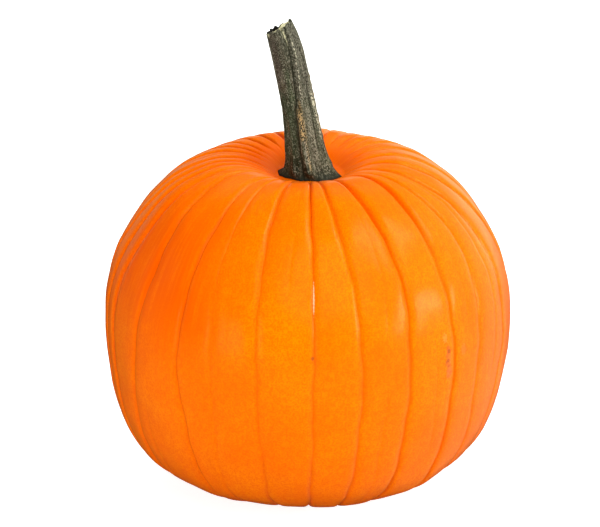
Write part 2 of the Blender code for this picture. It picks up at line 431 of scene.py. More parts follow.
def fruit_mesh(rind):
    """The fruit's mesh, with the attributes that its finish reads."""
    radii, heights, places = fruit_outline()
    radial, upward = outward_normals(radii, heights)
    creases = [groove + LONG_CREASE for groove in GROOVES] + list(SHORT_CREASES)
    creases.sort(key=lambda crease: crease[AT_WIDEST])
    stain_and_shade_weights, deepened, starts, ends = np.array(creases, float)[:, len(PATH_PLACES):].T
    starts = starts + LATER_AT_BACK * backness(np.array([crease[0] for crease in creases]))
    lines = azimuths_at(creases, places)
    grooves = azimuths_at(GROOVES, places)
    groove_weights = np.array([groove[len(PATH_PLACES)] for groove in GROOVES])
    groove_weights = np.concatenate([groove_weights[-1:], groove_weights, groove_weights[:1]])
    relief = np.maximum(smooth_curve(RELIEF_PLACES, RELIEF_DEPTHS, places), 0.0)
    before, shares = columns_between(creases)

    azimuths = np.zeros((len(places), len(before)))
    ribs = np.zeros_like(azimuths)
    folds = np.zeros_like(azimuths)
    stains_and_shade = np.zeros_like(azimuths)
    for row, place in enumerate(places):
        around = once_more_round(lines[row])[1:]
        azimuths[row] = around[before] + (around[before + 1] - around[before]) * shares
        ribs[row] = rib_relief(azimuths[row], once_more_round(grooves[row]), groove_weights)
        rib_start = RIB_START + LATER_AT_BACK * backness(azimuths[row])
        ribs[row] *= eased(place, rib_start, rib_start + CREASE_FADE)
        begun = eased(place, starts - CREASE_FADE, starts)
        open_here = begun * (1 - eased(place, ends, ends + CREASE_FADE))
        across = azimuths[row], lines[row]
        folds[row] = crease_depth(*across, deepened * open_here, radii[row], rind.crease_width)
        shown = FAINT_SHARE + (1 - FAINT_SHARE) * eased(place, *STAIN_AND_SHADE_GROWS)
        stain_and_shade_here = np.where(stain_and_shade_weights < STRONG_STAIN_AND_SHADE, shown, 1.0) * stain_and_shade_weights * open_here
        stains_and_shade[row] = crease_depth(*across, stain_and_shade_here, radii[row], rind.stain_and_shade_width)

    angle = np.radians(azimuths)
    around = np.stack([np.sin(angle), -np.cos(angle)], axis=-1)
    turned = np.empty(azimuths.shape + (3,))
    turned[..., :2] = radii[:, None, None] * around
    turned[..., 2] = heights[:, None]
    hollows = rind.rib_relief * relief[:, None] * ribs + rind.crease_depth * folds
    grown = eased(places, *SWELLINGS_START) * (1 - eased(places, *SWELLINGS_END))
    for length, height, seed in SWELLINGS:
        hollows -= height * waves(turned, length, seed) * grown[:, None]
    hollows -= spots(LUMPS, azimuths, places[:, None])
    radius = radii[:, None] - radial[:, None] * hollows
    height = heights[:, None] - upward[:, None] * hollows
    height = height - blossom_scar(radius, azimuths) * (places[:, None] > LONG_CREASE[1])

    points = np.empty_like(turned)
    points[..., 0] = radius * around[..., 0] + LEAN * (height - LEAN_HEIGHT)
    points[..., 1] = radius * around[..., 1]
    points[..., 2] = height
    mesh = closed_mesh("ribbed_fruit", points)
    skin = np.empty_like(turned)
    skin[..., :2] = FRUIT_RADIUS * around
    skin[..., 2] = math.pi * FRUIT_RADIUS * places[:, None]
    give(mesh, "skin", skin)
    # The crease stain: a deeper colour, partly the rind's own and partly painted shade.
    give(mesh, "stain", stains_and_shade)
    # The broad tones, with painted shade in the cavity round the stalk.
    give(mesh, "ripeness", spots(TONES, azimuths, places[:, None]))
    give(mesh, "place", np.broadcast_to(places[:, None], azimuths.shape))
    return mesh


# ---- The stalk ---------------------------------------------------------------------------------

SEAT_GAP = 0.3 * MM

# Stations up the stalk: height above the seat, sideways shift along X, radius over the ridges,
# then the section's tilt in degrees, the +X side up, and its tilt with the -Y side up.
STALK_STATIONS = (
    (0.0000, 0.0030, 0.0212, 0, 0),
    (0.0030, 0.0024, 0.0186, 1, 0),
    (0.0090, 0.0012, 0.0158, 3, 0),
    (0.0180, -0.0002, 0.0141, 5, 0),
    (0.0330, -0.0022, 0.0128, 7, 0),
    (0.0500, -0.0048, 0.0118, 9, 0),
    (0.0670, -0.0080, 0.0115, 11, 0),
    (0.0840, -0.0115, 0.0113, 15, 2),
    (0.0950, -0.0145, 0.0107, 21, 5),
    (0.1040, -0.0176, 0.0100, 29, 8),
)
STALK_TOP = STALK_STATIONS[-1][0]

# Ridges and the hollows between them in order round the stalk: azimuth and share of the radius.
STALK_RIBS = (
    (-165, 0.87),
    (-142, 1.00),
    (-115, 0.86),
    (-88, 1.00),
    (-62, 0.90),
    (-36, 0.99),
    (-5, 0.80),
    (14, 1.00),
    (36, 0.86),
    (64, 1.00),
    (90, 0.86),
    (116, 1.00),
    (142, 0.86),
    (168, 1.00),
)
STALK_COLUMNS = 252
BARK_ROWS = 232
PITH_ROWS = 16
RIM_ROWS = 5
SOLE_ROWS = 5
RIM_SHARE = 0.80  # radius of the pith, as a share of the stalk's
RIM_OUTER_SHARE = 0.985  # radius of the rim's outer edge, as such a share
PITH_DROP = 0.8 * MM  # how far the pith lies below the rim
BARK_DROP = 0.3 * MM  # how far the bark's topmost row lies below the rim
RIDGE_POWER = 1.2  # 1 would make the ridges sharp and 2 would make them round
NEAR_BARK = (0.7, 1.0)  # shares of the radius between which the bark's unevenness sets in

# The bark's grain is read on an even cylinder of this radius, which is shorter than the stalk, so
# the grain comes out longer than wide.
GRAIN_RADIUS = 12 * MM
GRAIN_RISE = 0.35  # length of the cylinder as a share of the stalk's

# Waves of the cork's warts and of the pith's pores: size, seed and number.
WARTS = (2.2 * MM, 31, 48)
PITH_PORES = (1.2 * MM, 44, 48)
PITH_PORE_DEPTH = 0.22 * MM

# Fibres along the bark: how many there are round the stalk, and how many millimetres they stand.
FIBRES = ((17, 0.10), (29, 0.10), (47, 0.07), (71, 0.05))
FIBRE_SEED = 5
FIBRE_WAVER = 1.6  # how far a fibre wanders sideways, in radians of its own width
FIBRE_LENGTHS = (20 * MM, 50 * MM)  # shortest and longest wave of a fibre's waver
FIBRE_SWAYS = 3  # how often the waver runs ahead and behind round the stalk
FIBRE_LEAD = 2  # how far it does so, in radians
FOOT_SMOOTHNESS = 0.6  # share of the fibres' height that is lost at the foot

# The foot's outline in order round the stalk: azimuth and share of the radius.
FOOT = (
    (-165, 0.92),
    (-142, 1.00),
    (-125, 0.98),
    (-106, 1.09),
    (-80, 1.02),
    (-64, 0.92),
    (-44, 0.80),
    (-21, 0.81),
    (-4, 0.73),
    (22, 0.88),
    (31, 0.91),
    (50, 0.96),
    (72, 1.05),
    (92, 0.87),
    (116, 0.84),
    (142, 0.84),
    (168, 0.98),
)
FOOT_HEIGHT = 0.006
FOOT_POWER = 1.0  # as RIDGE_POWER, for the foot's toes

# How far the front ridges lean sideways on their way up: level and degrees.
TWIST = ((0.000, -12), (0.045, -12), (0.056, 2), (0.070, 8), (0.085, 14), (0.104, 17))
TWIST_MIDDLE = 5
TWIST_WIDTH = 40

# Furrows in the bark: strength, width in degrees, then level and azimuth at points on the way up.
FURROWS = (
    (0.5, 9.0, (0.002, -20), (0.045, -18), (0.052, -12)),
    (1.0, 3.0, (0.000, -17), (0.045, -17), (0.056, -4), (0.070, 3), (0.084, 10), (0.095, 12)),
    (0.9, 2.6, (0.018, 42), (0.040, 43), (0.056, 48), (0.070, 54)),
    (0.6, 2.5, (0.076, -38), (0.090, -36), (0.098, -30)),
    (0.7, 4.0, (0.008, -80), (0.030, -76), (0.056, -74)),
    (0.5, 2.0, (0.000, 20), (0.014, 24)),
    (0.5, 2.0, (0.004, -50), (0.024, -52), (0.036, -47)),
    (0.5, 2.0, (0.060, -8), (0.080, -14)),
    (0.6, 3.0, (0.010, 96), (0.080, 90)),
    (0.8, 3.0, (0.004, 142), (0.050, 140), (0.090, 132)),
    (0.8, 3.0, (0.010, -166), (0.060, -160), (0.100, -168)),
    (0.7, 3.0, (0.006, -116), (0.070, -112)),
)
FURROW_DEPTH = 0.5 * MM
PATCH_FADE = 4 * MM  # how gradually furrows, cork and chips start and end
TONE_FADE = 5 * MM  # the same for the tones

# Corky stretches of the bark: azimuth, width in degrees, lowest and highest level, strength.
CORK = (
    (0, 13, 0.027, 0.049, 0.68),
    (6, 6, 0.046, 0.056, 0.45),
    (7, 5, 0.006, 0.030, 0.45),
    (116, 7, 0.020, 0.070, 0.8),
    (168, 6, 0.010, 0.050, 0.8),
    (-142, 7, 0.030, 0.080, 0.7),
)

# Pale chips of the bark, given as the corky stretches are.
CHIPS = (
    (17, 2.5, 0.054, 0.068, 0.7),
    (23, 2.5, 0.066, 0.082, 0.7),
    (30, 2.5, 0.082, 0.094, 0.9),
    (3, 9, 0.010, 0.030, 0.30),
    (32, 16, 0.012, 0.052, 0.30),
    (14, 8, 0.050, 0.060, 0.3),
    (62, 8, 0.047, 0.057, 1.0),
    (66, 9, 0.025, 0.046, 1.0),
    (76, 9, 0.014, 0.024, 1.0),
    (-79, 4, 0.090, 0.094, 0.9),
    (-79, 4, 0.081, 0.085, 0.9),
    (-45, 14, 0.066, 0.078, 0.25),
    (-100, 6, 0.060, 0.095, 0.6),
    (150, 10, 0.030, 0.090, 0.4),
)

# Tones of the bark over its grey-green: azimuth, width in degrees, lowest and highest level,
# colour, strength.
BARK_TONES = (
    (-50, 45, 0.062, 0.104, (0.066, 0.048, 0.036), 0.9),
    (52, 38, 0.054, 0.104, (0.105, 0.098, 0.078), 0.8),
    (-150, 50, 0.050, 0.104, (0.070, 0.056, 0.042), 0.8),
    (130, 40, 0.010, 0.060, (0.070, 0.074, 0.048), 0.6),
    (-18, 9, 0.052, 0.076, (0.044, 0.070, 0.030), 0.7),
    (-45, 9, 0.062, 0.072, (0.075, 0.064, 0.022), 0.6),
    (-60, 36, 0.000, 0.060, (0.024, 0.046, 0.020), 1.0),
    (-85, 14, 0.006, 0.044, (0.012, 0.040, 0.016), 0.8),
    (-52, 5, 0.036, 0.039, (0.260, 0.080, 0.020), 0.6),
    (-10, 9, 0.006, 0.032, (0.022, 0.030, 0.008), 0.8),
    (-34, 16, 0.000, 0.016, (0.004, 0.014, 0.006), 1.0),
    (-6, 10, 0.000, 0.012, (0.005, 0.014, 0.005), 1.0),
    (24, 16, 0.004, 0.050, (0.085, 0.084, 0.055), 0.7),
    (78, 13, 0.005, 0.024, (0.018, 0.066, 0.044), 0.95),
    (62, 6, 0.004, 0.014, (0.080, 0.074, 0.012), 0.6),
)

# Damage to the rim of the cut: azimuth, width in degrees, how far the rim rises there.
RIM_DAMAGE = (
    (9, 9, -0.0030),
    (-22, 8, -0.0005),
    (88, 24, 0.0014),
    (-66, 9, -0.0014),
    (-98, 6, 0.0006),
    (-114, 4, -0.0012),
    (-130, 6, 0.0008),
    (-143, 4, -0.0008),
    (-158, 7, 0.0010),
    (-176, 4, -0.0012),
    (150, 7, -0.0010),
    (116, 6, -0.0006),
)

# The ragged rim: its drop below the stalk's top, the height and length of its teeth, their seed,
# and the radius at which they are drawn.
RIM_DROP = 0.8 * MM
RIM_TOOTH_HEIGHT = 0.35 * MM
RIM_TOOTH = 3 * MM
RIM_SEED = 12
RIM_RADIUS = 10 * MM

# The bare flesh outside the pith: azimuth, width in degrees, how far down the bark it reaches.
BARE = ((10, 5, 0.006), (13, 2.5, 0.013), (-72, 9, 0.0025))
WHOLLY_BARE = 0.3  # share of that reach down to which no bark is left

# The pith's hollow: its middle, its width and its depth.
PITH_HOLLOW = (-0.0050, 0.0020)
PITH_HOLLOW_WIDTH = 0.0055
PITH_HOLLOW_DEPTH = 3.2 * MM

# The blackened side of the cut: rot, and painted shade inside the far rim and in the pith's hollow.
ROT_AND_SHADE_AZIMUTH = -145
ROT_AND_SHADE_WIDTH = 42
ROT_AND_SHADE_SHARES = (0.3, 0.6)  # shares of the radius between which the rot and painted shade set in


def stalk_frames(levels):
    """Shift, radius and the two tilts in radians of the stalk's section at each level."""
    heights, *columns = np.array(STALK_STATIONS, float).T
    shift, radius, side, back = (smooth_curve(heights, column, levels) for column in columns)
    return shift, radius, np.radians(side), np.radians(back)


def twisted(azimuths, levels):
    """The azimuths as the ribs number them, where the front ridges lean sideways."""
    heights, degrees = np.array(TWIST).T
    lean = smooth_curve(heights, degrees, np.clip(levels, 0.0, STALK_TOP))
    return azimuths - lean * bell(apart(azimuths, TWIST_MIDDLE), TWIST_WIDTH)


def between_knots(table, azimuths, power):
    """Share of the radius at each azimuth: sharp at a table's peaks, round in its hollows."""
    knots, shares = np.array(table, float).T
    knots = once_more_round(knots)
    shares = np.concatenate([shares[-1:], shares, shares[:1]])
    span = np.clip(np.searchsorted(knots, azimuths) - 1, 0, len(knots) - 2)
    across = (azimuths - knots[span]) / (knots[span + 1] - knots[span])
    falling = shares[span] > shares[span + 1]
    from_ridge = np.where(falling, across, 1 - across)
    ridge = np.maximum(shares[span], shares[span + 1])
    hollow = np.minimum(shares[span], shares[span + 1])
    return ridge - (ridge - hollow) * np.sin(math.pi / 2 * from_ridge)**power


def within(levels, low, high, fade):
    """1 between two levels, falling to 0 outside them."""
    return eased(levels, low - fade, low + fade) * (1 - eased(levels, high - fade, high + fade))


def furrow_cover(azimuths, levels):
    """How deep in a furrow the bark lies, from 0 to 1."""
    cover = np.zeros(azimuths.shape)
    for strength, width, *path in FURROWS:
        heights, middles = np.array(path).T
        middle = np.interp(levels, heights, middles)
        along = within(levels, heights[0], heights[-1], PATCH_FADE)
        cover = np.maximum(cover, strength * bell(apart(azimuths, middle), width) * along)
    return cover


def bark_colour(azimuths, levels, plain):
    """The bark's colour, before its fibres and specks."""
    colour = np.ones(azimuths.shape + (3,)) * plain
    for azimuth, width, low, high, tone, strength in BARK_TONES:
        along = within(levels, low, high, TONE_FADE)
        cover = strength * bell(apart(azimuths, azimuth), width) * along
        colour += cover[..., None] * (np.array(tone) - colour)
    return colour


def bare_flesh(azimuths, below_rim):
    """How bare of bark the outside is, by how far it lies below the rim."""
    cover = np.zeros(azimuths.shape)
    for azimuth, width, reach in BARE:
        along = 1 - eased(below_rim, WHOLLY_BARE * reach, reach)
        cover = np.maximum(cover, bell(apart(azimuths, azimuth), width) * along)
    return cover


def patch_cover(patches, azimuths, levels):
    """How much of the bark these patches cover, from 0 to 1."""
    cover = np.zeros(azimuths.shape)
    for azimuth, width, low, high, strength in patches:
        along = within(levels, low, high, PATCH_FADE)
        cover = np.maximum(cover, strength * bell(apart(azimuths, azimuth), width) * along)
    return cover


def fibre_relief(azimuths, levels):
    """Height of the bark's fibres above their mean."""
    angle = np.radians(azimuths)
    draw = np.random.default_rng(FIBRE_SEED)
    total = np.zeros(azimuths.shape)
    for count, height in FIBRES:
        start, drift = draw.uniform(0, math.tau, 2)
        length = draw.uniform(*FIBRE_LENGTHS)
        lead = drift + FIBRE_LEAD * np.sin(angle * FIBRE_SWAYS)
        waver = FIBRE_WAVER * np.sin(levels / length * math.tau + lead)
        total += height * MM * np.sin(count * angle + start + waver)
    return total


def rim_level(azimuths):
    """Level of the ragged rim round the cut."""
    angle = np.radians(azimuths)
    ring = np.stack([np.cos(angle), np.sin(angle), np.zeros_like(angle)], axis=-1) * RIM_RADIUS
    level = STALK_TOP - RIM_DROP + RIM_TOOTH_HEIGHT * waves(ring, RIM_TOOTH, RIM_SEED)
    for azimuth, width, rise in RIM_DAMAGE:
        level = level + rise * bell(apart(azimuths, azimuth), width)
    return level


def stalk_mesh(stalk):
    """The stalk's mesh, with the attributes that its finish reads."""
    azimuths = np.arange(STALK_COLUMNS) * 360 / STALK_COLUMNS - 180
    rim = rim_level(azimuths)
    pith_shares = np.linspace(0.0, RIM_SHARE, PITH_ROWS)
    rim_shares = np.linspace(RIM_SHARE, RIM_OUTER_SHARE, RIM_ROWS + 1)[1:]
    sole_shares = np.linspace(1.0, 0.0, SOLE_ROWS + 1)[1:]
    shares = np.concatenate([pith_shares, rim_shares, np.ones(BARK_ROWS), sole_shares])
    bark_start = PITH_ROWS + RIM_ROWS
    bark_end = bark_start + BARK_ROWS

    levels = np.empty((len(shares), STALK_COLUMNS))
    levels[:PITH_ROWS] = STALK_TOP - PITH_DROP
    levels[PITH_ROWS:bark_start] = rim
    fall = np.linspace(0.0, 1.0, BARK_ROWS)[:, None]
    levels[bark_start:bark_end] = (rim - BARK_DROP) * (1 - fall)
    levels[bark_end:] = 0.0
    around = np.broadcast_to(azimuths, levels.shape)
    shares = np.broadcast_to(shares[:, None], levels.shape)

    shift, width, side, back = stalk_frames(np.clip(levels, 0.0, STALK_TOP))
    angle = np.radians(around)
    section = between_knots(STALK_RIBS, twisted(around, levels), RIDGE_POWER)
    foot = 1 - eased(levels, 0.0, FOOT_HEIGHT)
    toes = between_knots(FOOT, around, FOOT_POWER)
    section = section + foot * stalk.toe_reach * (toes - section)
    near_bark = eased(shares, *NEAR_BARK)
    cork = patch_cover(CORK, around, levels) * near_bark
    chips = patch_cover(CHIPS, around, levels) * near_bark
    furrows = furrow_cover(around, levels) * near_bark
    outward = np.stack([np.sin(angle), -np.cos(angle), np.zeros_like(angle)], axis=-1)
    grain = GRAIN_RADIUS * outward
    grain[..., 2] = GRAIN_RISE * levels
    warts = np.maximum(waves(grain, *WARTS), 0.0)
    fibres = near_bark * fibre_relief(around, levels) * stalk.fibre_height
    radius = width * section + fibres * (1 - FOOT_SMOOTHNESS * foot)
    radius = radius + cork * warts * stalk.wart_height - FURROW_DEPTH * furrows
    radius = radius * shares
    flat = radius[..., None] * outward
    pores = waves(flat, *PITH_PORES) * (1 - near_bark) * PITH_PORE_DEPTH
    hollow = bell(np.linalg.norm(flat[..., :2] - PITH_HOLLOW, axis=-1), PITH_HOLLOW_WIDTH)
    pith_rows = (np.arange(len(levels)) < PITH_ROWS)[:, None] * np.ones_like(levels)
    pores = (pores - PITH_HOLLOW_DEPTH * hollow) * pith_rows
    # Rot and painted shade: the band inside the far rim and the pith's hollow turn near black.
    rotten = bell(apart(around, ROT_AND_SHADE_AZIMUTH), ROT_AND_SHADE_WIDTH) * eased(shares, *ROT_AND_SHADE_SHARES)
    rotten = np.maximum(hollow, rotten)

    x = shift + flat[..., 0] * np.cos(side)
    y = flat[..., 1] * np.cos(back)
    tilt = flat[..., 0] * np.sin(side) - flat[..., 1] * np.sin(back)
    z = SEAT_HEIGHT + SEAT_GAP + levels + tilt + pores
    points = np.stack([x, y, z], axis=-1)
    mesh = closed_mesh("cut_stalk", points)
    give(mesh, "grain", grain)
    give(mesh, "bark", bark_colour(around, levels, stalk.bark_colour))
    give(mesh, "climb", levels / STALK_TOP)
    give(mesh, "cork", cork)
    give(mesh, "chips", chips)
    give(mesh, "furrow", furrows)
    give(mesh, "pith", pith_rows)
    give(mesh, "rotten", rotten * (shares < 1.0))
    give(mesh, "bare", bare_flesh(around, rim - levels) * (1 - pith_rows))
    return mesh


# ---- Finishes ----------------------------------------------------------------------------------


class Nodes:
    """A node tree under construction, with short ways to add its nodes."""

    def __init__(self, tree):
        self.nodes = tree.nodes
        self.links = tree.links

    def put(self, value, socket):
        """Links a node's output to a socket, or sets the socket to a plain value."""
        if isinstance(value, bpy.types.NodeSocket):
            self.links.new(value, socket)
        else:
            socket.default_value = value

    def add(self, kind, sockets=(), **settings):
        """The outputs of a new node, once its settings and its sockets have their values."""
        node = self.nodes.new("ShaderNode" + kind)
        for name, setting in settings.items():
            setattr(node, name, setting)
        for name, value in dict(sockets).items():
            self.put(value, node.inputs[name])
        return node.outputs

    def attribute(self, name, output="Fac"):
        """A value that the mesh carries."""
        return self.add("Attribute", attribute_name=name)[output]

    def vector_maths(self, kind, first, second=(0.0, 0.0, 0.0), output="Vector"):
        """The result of one operation on two vectors."""
        return self.add("VectorMath", {0: first, 1: second}, operation=kind)[output]

    def maths(self, kind, first, second=0.0):
        """The result of one operation on two values."""
        return self.add("Math", {0: first, 1: second}, operation=kind)["Value"]

    def noises(self, vector, table):
        """The soft noises of a table at vector, from 0 to 1, by name."""
        made = {}
        for name, factors, scale, detail, roughness in table:
            sockets = {"Scale": scale, "Detail": detail, "Roughness": roughness}
            sockets["Vector"] = self.vector_maths("MULTIPLY", vector, factors)
            made[name] = self.add("TexNoise", sockets)["Fac"]
        return made

    def ramp(self, value, low, high, start=0.0, end=1.0):
        """Value's range from low to high spread smoothly over start to end."""
        sockets = {"Value": value, "From Min": low, "From Max": high, "To Min": start, "To Max": end}
        return self.add("MapRange", sockets, interpolation_type="SMOOTHSTEP")["Result"]

    def mix(self, share, first, second):
        """Two colours mixed by share. The node's sockets go by number, as some share a name."""
        return self.add("Mix", {0: share, 6: first, 7: second}, data_type="RGBA")[2]

    def layered(self, colour, layers, values, settings):
        """A colour under the layers of a table."""
        for tint, *covers in layers:
            share = None
            for name, *limits in covers:
                cover = self.ramp(values[name], *limits) if limits else values[name]
                share = cover if share is None else self.maths("MULTIPLY", share, cover)
            colour = self.mix(share, colour, (*getattr(settings, tint), 1.0))
        return colour

    def bumped(self, bumps, values):
        """A normal that follows the bumps of a table, each over the one before it."""
        normal = None
        for name, depth, strength in bumps:
            sockets = {"Height": values[name], "Distance": depth, "Strength": strength}
            if normal is not None:
                sockets["Normal"] = normal
            normal = self.add("Bump", sockets)["Normal"]
        return normal


class Finish(Nodes):
    """A material under construction."""

    def __init__(self, name):
        self.material = bpy.data.materials.new(name)
        self.material.use_nodes = True
        super().__init__(self.material.node_tree)

    def set(self, **values):
        """The material, once the shader's sockets, named with _ for a space, have their values."""
        shader = self.nodes["Principled BSDF"]
        for name, value in values.items():
            self.put(value, shader.inputs[name.replace("_", " ")])
        return self.material


EVEN = (1.0, 1.0, 1.0)

# Noises on the rind: name, factor on each of the skin's directions, scale, detail, roughness. A
# small factor draws the noise out along its direction.
RIND_NOISES = (
    ("mottle", EVEN, 22.0, 3.0, 0.5),
    ("blotches", EVEN, 240.0, 2.0, 0.6),
    ("streaks", (1.0, 1.0, 0.05), 320.0, 3.0, 0.5),
    ("speckle", EVEN, 760.0, 2.0, 0.6),
    ("wrinkles", (0.3, 0.3, 1.0), 420.0, 2.0, 0.6),
)
PORE_SCALE = 900.0

# Layers of a finish from the bottom up: the setting that gives the colour, then what the layer
# follows, where that starts and ends, and the layer's share at each of them.
RIND_LAYERS = (
    ("pale_colour", ("mottle", 0.35, 0.68)),
    # The broad tones; where they darken the cavity round the stalk, they are painted shade.
    ("deep_colour", ("ripeness", 0.0, 1.0)),
    ("golden_colour", ("ripeness", 0.0, -1.0)),
    ("pale_colour", ("streaks", 0.42, 0.72, 0.0, 0.45)),
    ("deep_colour", ("blotches", 0.38, 0.66, 0.0, 0.25)),
    ("deep_colour", ("speckle", 0.38, 0.66, 0.0, 0.60)),
    # The crease stain: a deeper colour, partly the rind's own and partly painted shade.
    ("deep_colour", ("stain", 0.05, 1.0, 0.0, 0.55)),
    # Painted shade deep in the side grooves, where the crease stain is strongest.
    ("painted_groove_shade", ("stain", 0.80, 1.30, 0.0, 0.60)),
)

# Bumps of a finish from the bottom up: what each follows, its depth and its strength.
RIND_BUMPS = (
    ("pores", 0.06 * MM, 0.5),
    ("wrinkles", 0.12 * MM, 0.5),
    ("streaks", 0.10 * MM, 0.4),
    ("speckle", 0.08 * MM, 0.4),
)
SPECKLE_RANGE = (0.3, 0.7)
ROUGHNESS_RANGE = (-0.05, 0.06)  # added to the rind's own roughness as the speckle rises
SCAR_PLACES = (0.975, 0.985)
SCAR_COLOUR = (0.30, 0.17, 0.07, 1.0)

# Colours of the marks and of the painted highlight.
BROWN = (0.30, 0.055, 0.012, 1.0)
ROSE = (0.76, 0.145, 0.045, 1.0)
TAN = (0.80, 0.36, 0.12, 1.0)
PALE = (0.95, 0.62, 0.36, 1.0)

# Marks on the rind: azimuth, place, half width and half height in millimetres, colour, strength.
MARKS_AND_GLINT = (
    (42, 0.475, 2.6, 13, ROSE, 0.42),
    (41, 0.437, 2.2, 4, PALE, 0.07),
    (42.4, 0.495, 3.4, 5, ROSE, 0.4),
    (48.2, 0.466, 3, 4.6, ROSE, 0.35),
    (41.8, 0.454, 1.9, 2, BROWN, 0.5),
    (42.2, 0.46, 2.2, 1.9, BROWN, 0.75),
    (41.4, 0.4665, 2, 1.6, BROWN, 0.35),
    (41.7, 0.475, 2, 1.9, BROWN, 0.7),
    (41, 0.479, 1.6, 1.4, BROWN, 0.35),
    (42, 0.4835, 1.7, 1.5, BROWN, 0.55),
    (41.6, 0.491, 1.8, 1.4, BROWN, 0.35),
    (42.9, 0.495, 1.9, 1.3, BROWN, 0.35),
    (42, 0.501, 1.7, 1.3, BROWN, 0.3),
    (1.3, 0.436, 1.3, 1.6, BROWN, 0.8),
    (-100, 0.037, 4.5, 2, BROWN, 0.4),
    # Painted highlight: a lamp's glint on the middle crease, painted as a pale streak.
    (1.6, 0.345, 0.6, 12, PALE, 0.85),
    (-100, 0.55, 1, 1.4, BROWN, 0.6),
    (-128, 0.46, 1.4, 1, BROWN, 0.5),
    (140, 0.52, 0.8, 3.6, TAN, 0.6),
    (170, 0.6, 1.2, 1.2, BROWN, 0.6),
)
MARK_EDGE = (0.5, 1.1)  # shares of a mark's size between which it fades
MARK_RAGGEDNESS = 0.25  # how far the speckle moves that edge in and out


def rind_finish(rind):
    """Waxy orange skin: mottled, finely speckled, deeper in the creases, with small marks."""
    finish = Finish("orange_rind")
    skin = finish.attribute("skin", "Vector")
    values = finish.noises(skin, RIND_NOISES)
    values["pores"] = finish.add("TexVoronoi", {"Vector": skin, "Scale": PORE_SCALE})["Distance"]
    for name in ("stain", "ripeness"):
        values[name] = finish.attribute(name)
    colour = finish.layered((*rind.skin_colour, 1.0), RIND_LAYERS, values, rind)
    ragged = finish.ramp(values["speckle"], *SPECKLE_RANGE, -MARK_RAGGEDNESS, MARK_RAGGEDNESS)
    # The marks, and one pale streak that is a painted highlight.
    for azimuth, place, wide, high, tint, strength in MARKS_AND_GLINT:
        angle = math.radians(azimuth)
        middle = Vector((math.sin(angle), -math.cos(angle), math.pi * place)) * FRUIT_RADIUS
        away = finish.vector_maths("SUBTRACT", skin, middle)
        away = finish.vector_maths("DIVIDE", away, Vector((wide, wide, high)) * MM)
        distance = finish.vector_maths("LENGTH", away, output="Value")
        share = finish.ramp(finish.maths("ADD", distance, ragged), *MARK_EDGE, strength, 0.0)
        colour = finish.mix(share, colour, tint)
    colour = finish.mix(finish.ramp(finish.attribute("place"), *SCAR_PLACES), colour, SCAR_COLOUR)
    low, high = (rind.roughness + change for change in ROUGHNESS_RANGE)
    return finish.set(
        Base_Color=colour,
        Roughness=finish.ramp(values["speckle"], *SPECKLE_RANGE, low, high),
        Specular_IOR_Level=rind.shine,
        Specular_Tint=(*rind.shine_colour, 1.0),
        Normal=finish.bumped(RIND_BUMPS, values),
    )


# The stalk's noises, layers and bumps, given as the rind's are. A layer that follows two things
# has the product of their shares, and one with no numbers has the mesh's own value as its share.
ALONG = (1.0, 1.0, 0.22)
CRUMBLY = (1.0, 1.0, 2.0)
STALK_NOISES = (
    ("fibre", ALONG, 700.0, 4.0, 0.65),
    ("specks", CRUMBLY, 1300.0, 2.0, 0.5),
    ("crumbs", CRUMBLY, 1100.0, 1.0, 0.6),
    ("patches", CRUMBLY, 130.0, 2.0, 0.6),
)
STALK_LAYERS = (
    ("grey_colour", ("fibre", 0.52, 0.72, 0.0, 0.40)),
    ("dark_colour", ("fibre", 0.34, 0.52, 0.80, 0.0)),
    ("grey_colour", ("specks", 0.52, 0.62, 0.0, 0.7), ("patches", 0.35, 0.60, 0.35, 1.0)),
    ("dark_colour", ("specks", 0.40, 0.50, 0.75, 0.0)),
    ("dark_colour", ("furrow", 0.1, 0.8, 0.0, 0.85)),
    ("foot_colour", ("climb", 0.0, 0.05, 0.95, 0.0)),
    ("dark_colour", ("crumbs", 0.40, 0.49, 0.9, 0.0), ("cork", 0.05, 0.5)),
    ("cork_colour", ("crumbs", 0.46, 0.54), ("cork", 0.05, 0.8)),
    ("dark_colour", ("crumbs", 0.40, 0.49, 0.9, 0.0), ("chips", 0.05, 0.5)),
    ("chip_colour", ("crumbs", 0.46, 0.54), ("chips", 0.05, 0.8)),
    ("flesh_colour", ("bare",), ("specks", 0.42, 0.54, 0.15, 0.95)),
)
SPONGE_GAPS = (("gap_colour", ("crumbs", 0.40, 0.50, 0.75, 0.0)),)
# Rot and painted shade: the back of the cut and the pith's hollow turn near black.
ROT_AND_SHADE_LAYERS = (("rot_and_shade_colour", ("rotten", 0.15, 0.5)),)
STALK_BUMPS = (("fibre", 0.5 * MM, 0.7), ("crumbs", 0.35 * MM, 0.5))


def stalk_finish(stalk):
    """Dry stalk: fibrous speckled bark, cork on the ridges, pale porous pith at the cut."""
    finish = Finish("dry_stalk")
    values = finish.noises(finish.attribute("grain", "Vector"), STALK_NOISES)
    for name in ("climb", "furrow", "cork", "chips", "bare", "rotten"):
        values[name] = finish.attribute(name)
    bark = finish.layered(finish.attribute("bark", "Color"), STALK_LAYERS, values, stalk)
    sponge = finish.layered((*stalk.pith_colour, 1.0), SPONGE_GAPS, values, stalk)
    colour = finish.mix(finish.attribute("pith"), bark, sponge)
    return finish.set(
        Base_Color=finish.layered(colour, ROT_AND_SHADE_LAYERS, values, stalk),
        Roughness=stalk.roughness,
        Specular_IOR_Level=stalk.shine,
        Normal=finish.bumped(STALK_BUMPS, values),
    )


# ---- The stage ---------------------------------------------------------------------------------

STAGE_SIZE = 12.0
LOOK_AT = Vector((-0.0046, 0.0, 0.1584))
CAMERA_PLACE = Vector((0.0, -1.8336, 0.8731))
CAMERA_ROLL = -0.36
SENSOR = 36.0
FLOOR_DROP = 0.2 * MM
FLOOR_ROUGHNESS = 0.9
WHITE = (1.0, 1.0, 1.0, 1.0)

